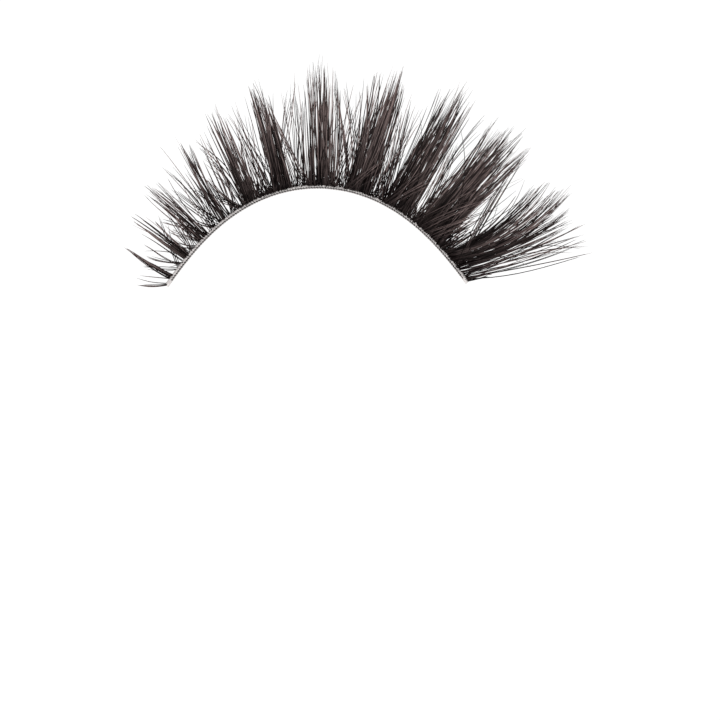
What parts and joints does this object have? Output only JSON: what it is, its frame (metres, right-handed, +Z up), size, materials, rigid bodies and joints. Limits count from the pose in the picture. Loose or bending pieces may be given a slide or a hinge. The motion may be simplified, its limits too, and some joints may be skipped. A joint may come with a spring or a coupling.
{
  "type": "false eyelash strip",
  "caption": "Strip of curled false lashes: a thin clear band bent to the lid's edge, with spiky tufts of hair that lengthen towards the outer corner and finer crossed hair between them.",
  "frame": {"origin": "middle of the band's length and width, on its flat underside, which is the face that the glue goes on", "axes": "+X towards the outer corner of the eye, where the longest hair is; +Y the way the hair at the middle points, away from the lid; +Z up from the surface that the strip lies on, the way the hair curls"},
  "size_m": [0.0415, 0.0196, 0.0059],
  "materials": {
    "clear_band": "thin, milky translucent glue band, satin",
    "knots": "dark knotted hair roots seen through the glue",
    "tuft_hair": "near-black tapered synthetic hair, soft sheen along the strands",
    "fine_hair": "fine brown-black tapered hair, soft sheen"
  },
  "bodies": {
    "root": {"band": "clear_band", "knot_line": "knots", "tuft_01": "tuft_hair", "tuft_02": "tuft_hair", "tuft_03": "tuft_hair", "tuft_04": "tuft_hair", "tuft_05": "tuft_hair", "tuft_06": "tuft_hair", "tuft_07": "tuft_hair", "tuft_08": "tuft_hair", "tuft_09": "tuft_hair", "tuft_10": "tuft_hair", "tuft_11": "tuft_hair", "tuft_12": "tuft_hair", "tuft_13": "tuft_hair", "crossing_01": "fine_hair", "crossing_02": "fine_hair", "crossing_03": "fine_hair", "crossing_04": "fine_hair", "crossing_05": "fine_hair", "crossing_06": "fine_hair", "crossing_07": "fine_hair", "crossing_08": "fine_hair", "crossing_09": "fine_hair", "crossing_10": "fine_hair", "crossing_11": "fine_hair"}
  },
  "joints": []
}
